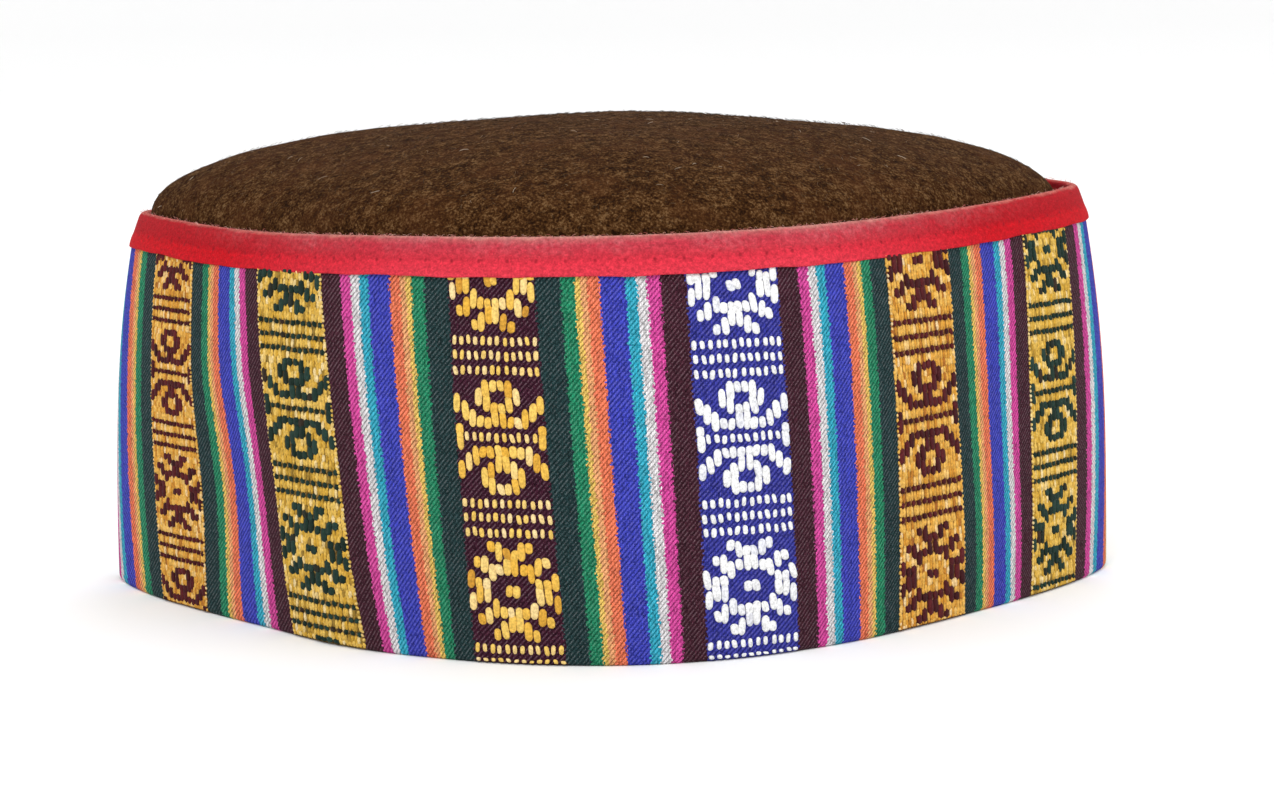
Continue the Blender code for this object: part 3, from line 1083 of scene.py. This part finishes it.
class CAP_OT_floats(Operator):
    """Raise the pattern threads of every woven band"""

    bl_idname = "cap.floats"
    bl_label = "Pattern threads"

    def execute(self, context):
        dice = np.random.default_rng(context.scene.cap_studio.seed + 1)
        for name, ground, cells_of, finish, tones in self.pieces():
            bands = [band for band in WOVEN_BANDS if band.ground == ground]
            cells = [cell for band in bands for cell in cells_of(band)]
            self.raise_threads(name, float_material(finish, tones), cells, dice)
        return {"FINISHED"}

    @classmethod
    def pieces(cls):
        """Each piece of threads: name, ground that it lies on, cells, and finish with its tones."""
        return (
            ("gold_pattern", "wine", cls.figure_cells, "gold pattern thread", (
                (0.0, (0.88, 0.68, 0.36)),
                (0.30, (0.84, 0.56, 0.13)),
                (0.8, (0.76, 0.42, 0.05)),
                (1.0, (0.50, 0.22, 0.03)),
            )),
            ("white_pattern", "blue", cls.figure_cells, "white pattern thread", (
                (0.0, (0.88, 0.88, 0.86)),
                (0.6, (0.84, 0.84, 0.84)),
                (1.0, (0.70, 0.71, 0.78)),
            )),
            ("maroon_figured_ground", "gold", cls.ground_cells, "yellow ground thread", (
                (0.0, (0.84, 0.62, 0.34)),
                (0.3, (0.78, 0.46, 0.10)),
                (0.85, (0.62, 0.28, 0.030)),
                (1.0, (0.34, 0.11, 0.020)),
            )),
            ("green_figured_ground", "lime", cls.ground_cells, "straw ground thread", (
                (0.0, (0.82, 0.66, 0.36)),
                (0.3, (0.76, 0.50, 0.11)),
                (0.85, (0.60, 0.34, 0.035)),
                (1.0, (0.26, 0.16, 0.028)),
            )),
            ("maroon_figure", "gold", cls.dark_cells, "dark red pattern thread", (
                (0.0, (0.10, 0.012, 0.014)),
                (1.0, (0.035, 0.006, 0.008)),
            )),
            ("green_figure", "lime", cls.dark_cells, "dark green pattern thread", (
                (0.0, (0.018, 0.045, 0.034)),
                (0.8, (0.008, 0.020, 0.014)),
                (1.0, (0.045, 0.020, 0.012)),
            )),
        )

    @classmethod
    def raise_threads(cls, name, material, cells, dice):
        """One piece of all the raised threads of some cells."""
        rings, tips, tint = cls.plump(np.array(cells), dice)
        piece = new_object(name, tube_mesh(name, rings, tips, tint), material)

    @staticmethod
    def figure_cells(band):
        """Raised threads of the figures: band, column, middle row, rows covered, and kind of thread."""
        cells = []
        rows = chart_cells(band)
        for column in range(COLUMNS):
            start = None
            for row, line in rows + [(rows[-1][0] + 1, PLAIN_ROW)]:
                raised = line[column] == "X"
                if raised and start is None:
                    start = row
                if start is not None and (not raised or row - start == LONGEST_RUN):
                    span = row - start
                    dashed = span == 1 and REPEAT[start % len(REPEAT)] == FULL_ROW
                    kind = DASH if dashed else FIGURE_THREAD
                    cells.append((band.number, column, start + 0.5 * (span - 1), span, kind))
                    start = row if raised else None
        return cells

    @classmethod
    def dark_cells(cls, band):
        """The figures again, in dark threads for a pale ground."""
        return [(*cell[:4], DARK_DASH if cell[4] == DASH else DARK) for cell in cls.figure_cells(band)]

    @staticmethod
    def ground_cells(band):
        """Raised threads of the ground, where the chart is plain, and knots along both edges."""
        rows = chart_cells(band)
        cells = [(band.number, column, row, 1, GROUND) for row, line in rows
                 for column in GROUND_COLUMNS if line[int(column + 0.5)] != "X"]
        knots = np.arange(rows[0][0], rows[-1][0], KNOT_ROWS)
        return cells + [(band.number, column, row, 1, KNOT) for row in knots for column in KNOT_COLUMNS]

    @staticmethod
    def plump(cells, dice):
        """Rings, tips and tints of the raised threads of some cells."""
        threads, cap = weave(), shape()
        number, column, row, span, kind = cells.T
        kind = kind.astype(int)
        extra, width, lift, paler = np.array([THREADS[value] for value in kind]).T
        many = len(cells)
        bands = [WOVEN_BANDS[int(value) - WOVEN_BANDS[0].number] for value in number]
        star, row_pitch = np.array([rows_of(band) for band in bands]).T
        half = 0.5 * (span + extra) * row_pitch * dice.uniform(0.90, 1.10, many)
        middle = star + row * row_pitch + dice.normal(0, 0.07, many) * row_pitch
        count = number + BAND_SHARE * ((column + 0.5) / (COLUMNS / 2) - 1)
        knots = np.array([band_knots(level)[1] for level in middle])
        spots = band_knots(0.0)[0]
        arc = np.array([np.interp(spot, spots, line) for spot, line in zip(count, knots)])
        pitch = np.array([band.half_width / (MILLIMETRES * COLUMNS / 2) for band in bands])
        arc = arc + dice.normal(0, 0.05, many) * pitch
        half_width = pitch * width * dice.uniform(0.88, 1.10, many)
        rise = threads.float_rise * lift * dice.uniform(0.75, 1.2, many)
        turns, arcs = rim_arcs()
        top = cuff_top(np.interp(arc, arcs, turns)) - cap.tape_width + 0.0006
        low = np.maximum(middle - half, 0.0005)
        high = np.minimum(middle + half, top)
        keep = (high - low > 0.35 * half) & (np.abs(arc) < arcs[-1] - 0.001)
        arc, low, high = (value[keep] for value in (arc, low, high))
        half_width, rise, kind, paler = (value[keep] for value in (half_width, rise, kind, paler))
        many = len(arc)
        skew = dice.normal(-0.12, 0.16, many) * half_width
        rings = []
        stations, blunt = SHORT_THREAD if np.isin(kind, (GROUND, KNOT)).any() else LONG_THREAD
        angles = np.radians([0, 36, 72, 108, 144, 180])
        for station in stations:
            fill = (1 - abs(station) ** blunt) ** 0.56
            height = (low + high) / 2 + station * (high - low) / 2
            drift = skew * station
            ring = [on_cloth(arc + drift + half_width * fill * math.cos(angle), height,
                             rise * fill * math.sin(angle)) for angle in angles]
            ring.append(on_cloth(arc + drift, height, -0.00012))
            rings.append(np.stack(ring, 1))
        tips = np.stack([on_cloth(arc - skew, low, -0.00004), on_cloth(arc + skew, high, -0.00004)], 1)
        drawn = np.where(kind == GROUND, dice.beta(1.5, 1.2, many), dice.beta(1.6, 1.8, many))
        return np.stack(rings, 1)[:, :, ::-1], tips, np.clip(drawn * (1 - paler), 0, 1)


class CAP_OT_binding(Operator):
    """Fold the red tape over the band's top edge"""

    bl_idname = "cap.binding"
    bl_label = "Red binding"

    stitch_drop = 0.0046
    stitch_pitch = 0.0062

    def execute(self, context):
        cap = shape()
        arc, turn = along_rim(TAPE_POINTS)
        top = cuff_top(turn)
        leaf = 0.6 * cap.tape_wall
        outside = -leaf
        inside = cap.band_wall + cap.fit_gap + cap.tape_wall
        over = outside + TAPE_FOLD_INSET
        middle = 0.5 * (inside + over)
        half = 0.5 * (inside - over)
        soft = TAPE_FOLD_DEPTH
        wave = 0.00012 * np.sin(arc * 400) * np.sin(arc * 93 + 1) + 0.00009 * np.sin(arc * 151)
        rows = []

        def row(inset, drop):
            rows.append((on_wall(turn, inset, top - drop), np.broadcast_to(drop, arc.shape)))

        for share in np.linspace(0, 1, 20):
            drop = cap.tape_width + share * (soft - cap.tape_width)
            pressed = tuck(turn, top - drop) if share < 1 else TAPE_FOLD_INSET
            row(outside + pressed - self.puff(arc, drop), drop + wave * (1 - share))
        for spot in np.radians(np.linspace(15, 165, 11)):
            row(middle - half * math.cos(spot), soft - soft * math.sin(spot))
        for share in np.linspace(0, 1, 7):
            row(inside, soft + share * (cap.tape_inner_width - soft))
        row(inside - cap.tape_wall, cap.tape_inner_width)
        row(inside - cap.tape_wall, 2 * soft)
        row(inside - cap.tape_wall, cap.tape_wall)
        row(over + leaf, cap.tape_wall)
        row(over + leaf, 2 * soft)
        row(outside + leaf, cap.tape_width + wave)
        points = np.array([line[0][:-1] for line in rows])
        measure = [np.stack([arc, line[1]], 1) for line in rows]
        measure.append(measure[0])
        mesh = grid_mesh("binding_tape", points, np.array(measure))
        piece = new_object("binding_tape", mesh, tape_material())
        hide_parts("binding")
        self.fuzz(context)
        return {"FINISHED"}

    @staticmethod
    def fuzz(context):
        """Short pale fibres worn up along the fold of the tape."""
        dice = np.random.default_rng(context.scene.cap_studio.seed + 2)
        many = TAPE_FIBRES
        turn = dice.random(many) * 360
        inset = dice.uniform(0.0002, 0.0030, many)
        start = on_wall(turn, inset, cuff_top(turn) - 0.00015)
        along = on_wall(turn + 0.1, inset, cuff_top(turn)) - on_wall(turn - 0.1, inset, cuff_top(turn))
        along /= np.linalg.norm(along, axis=1)[:, None]
        reach = dice.uniform(-0.0016, 0.0016, many)[:, None]
        up = np.array([0.0, 0.0, 1.0])
        end = start + along * reach + up * dice.uniform(0.0, 0.0006, many)[:, None]
        middle = (start + end) / 2 + up * dice.uniform(0.0001, 0.0007, many)[:, None]
        rings, tips = strand_rings(start, middle, end, np.broadcast_to(up, start.shape),
                                   0.000028 * dice.uniform(0.7, 1.4, many))
        tones = ((0.0, (0.46, 0.10, 0.10)), (0.6, (0.60, 0.24, 0.20)), (1.0, (0.70, 0.45, 0.36)))
        mesh = tube_mesh("tape_fuzz", rings, tips, dice.random(many))
        piece = new_object("tape_fuzz", mesh, strand_material("worn cotton fibres", tones))

    @classmethod
    def puff(cls, arc, drop):
        """How far the tape bulges on both sides of its row of stitches."""
        cap = shape()
        under = (cap.tape_width - drop) / (cap.tape_width - cls.stitch_drop)
        below = math.sin(math.pi * min(1, max(0, under)))
        above = math.sin(math.pi * min(1, max(0, (cls.stitch_drop - drop) / cls.stitch_drop)))
        hole = np.abs((arc / cls.stitch_pitch) % 1 - 0.5) * 2
        dimple = np.clip(1 - (1 - hole) / 0.16, 0, 1) * max(0.0, 1 - abs(drop - cls.stitch_drop) / 0.0007)
        return 0.00009 * below + 0.00012 * above - 0.00022 * dimple


class CAP_OT_stage(Operator):
    """Set the pale floor, the soft lights and the camera"""

    bl_idname = "cap.stage"
    bl_label = "Floor, lights and camera"

    def execute(self, context):
        self.floor()
        self.lights(context.scene)
        self.camera(context.scene)
        return {"FINISHED"}

    @staticmethod
    def floor():
        """Pale round floor that turns up smoothly at its edge."""
        profile = ((0.8, 0.0), (1.8, 0.0), (2.3, 0.02), (2.7, 0.12), (3.0, 0.34), (3.2, 0.7), (3.3, 1.4))
        steps = 96
        angles = [math.tau * step / steps for step in range(steps)]
        points = [(radius * math.cos(angle), radius * math.sin(angle), height)
                  for radius, height in profile for angle in angles]
        faces = [(ring * steps + step, ring * steps + (step + 1) % steps,
                  (ring + 1) * steps + (step + 1) % steps, (ring + 1) * steps + step)
                 for ring in range(len(profile) - 1) for step in range(steps)]
        faces.append(tuple(reversed(range(steps))))
        mesh = bpy.data.meshes.new("floor")
        mesh.from_pydata(points, [], faces)
        mesh.shade_smooth()
        material, _, shader = new_material("pale floor", 0.9, specular=0.1)
        shader.inputs["Base Color"].default_value = (0.92, 0.92, 0.92, 1)
        mesh.materials.append(material)
        floor = bpy.data.objects.new("floor", mesh)
        bpy.context.scene.collection.objects.link(floor)

    @staticmethod
    def lights(scene):
        """Soft light from all round, with a round panel each in front, at one side and behind."""
        world = bpy.data.worlds.new("soft light")
        world.use_nodes = True
        background = world.node_tree.nodes["Background"]
        background.inputs["Color"].default_value = (1, 1, 1, 1)
        background.inputs["Strength"].default_value = 0.95
        scene.world = world
        panels = (
            ("front light", (-0.35, -1.6, 1.5), 1.3, 20.0),
            ("side light", (1.5, -0.7, 1.1), 1.1, 7.0),
            ("back light", (0.2, 1.5, 1.6), 1.3, 8.0),
        )
        for name, place, size, power in panels:
            data = bpy.data.lights.new(name, "AREA")
            data.shape = "DISK"
            data.size = size
            data.energy = power
            light = bpy.data.objects.new(name, data)
            light.location = place
            light.rotation_euler = (Vector((0, 0, 0.05)) - Vector(place)).to_track_quat("-Z", "Y").to_euler()
            scene.collection.objects.link(light)

    @staticmethod
    def camera(scene):
        """Camera in front of the cap, a little above it, looking slightly down."""
        studio = scene.cap_studio
        pitch, yaw, roll = (math.radians(value) for value in (studio.pitch, studio.yaw, studio.roll))
        ahead = Vector((math.sin(yaw) * math.cos(pitch), math.cos(yaw) * math.cos(pitch), -math.sin(pitch)))
        level = Vector((math.cos(yaw), -math.sin(yaw), 0))
        upright = level.cross(ahead)
        right = level * math.cos(roll) + upright * math.sin(roll)
        up = upright * math.cos(roll) - level * math.sin(roll)
        turn = Matrix((right, up, -ahead)).transposed()
        data = bpy.data.cameras.new("camera")
        data.sensor_width = 36
        data.lens = studio.focal
        data.clip_start = 0.01
        camera = bpy.data.objects.new("camera", data)
        camera.matrix_world = Matrix.Translation((0, -studio.eye_distance, studio.eye_height)) @ turn.to_4x4()
        scene.collection.objects.link(camera)
        scene.camera = camera


OPERATORS = (CAP_OT_stage, CAP_OT_crown, CAP_OT_nap, CAP_OT_band, CAP_OT_floats, CAP_OT_binding)


class CAP_PT_panel(Panel):
    """Lists the steps that build the cap"""

    bl_label = "Woven cap"
    bl_idname = "CAP_PT_panel"
    bl_space_type = "VIEW_3D"
    bl_region_type = "UI"
    bl_category = "Cap"

    def draw(self, context):
        for group in (context.scene.cap_shape, context.scene.cap_weave, context.scene.cap_studio):
            box = self.layout.box()
            for name in group.bl_rna.properties.keys():
                if name not in ("rna_type", "name"):
                    box.prop(group, name)
        for operator in OPERATORS:
            self.layout.operator(operator.bl_idname)


CLASSES = (CapShape, ClothWeave, Studio, *OPERATORS, CAP_PT_panel)


def register():
    """Register the classes and the settings."""
    for item in CLASSES:
        bpy.utils.register_class(item)
    bpy.types.Scene.cap_shape = PointerProperty(type=CapShape)
    bpy.types.Scene.cap_weave = PointerProperty(type=ClothWeave)
    bpy.types.Scene.cap_studio = PointerProperty(type=Studio)


def unregister():
    """Remove the settings and the classes."""
    del bpy.types.Scene.cap_shape
    del bpy.types.Scene.cap_weave
    del bpy.types.Scene.cap_studio
    for item in reversed(CLASSES):
        bpy.utils.unregister_class(item)


def main():
    """Build the whole cap and its stage."""
    register()
    bpy.context.scene.view_settings.view_transform = "Standard"
    for operator in OPERATORS:
        getattr(bpy.ops.cap, operator.bl_idname.split(".")[1])()


if __name__ == "__main__":
    main()
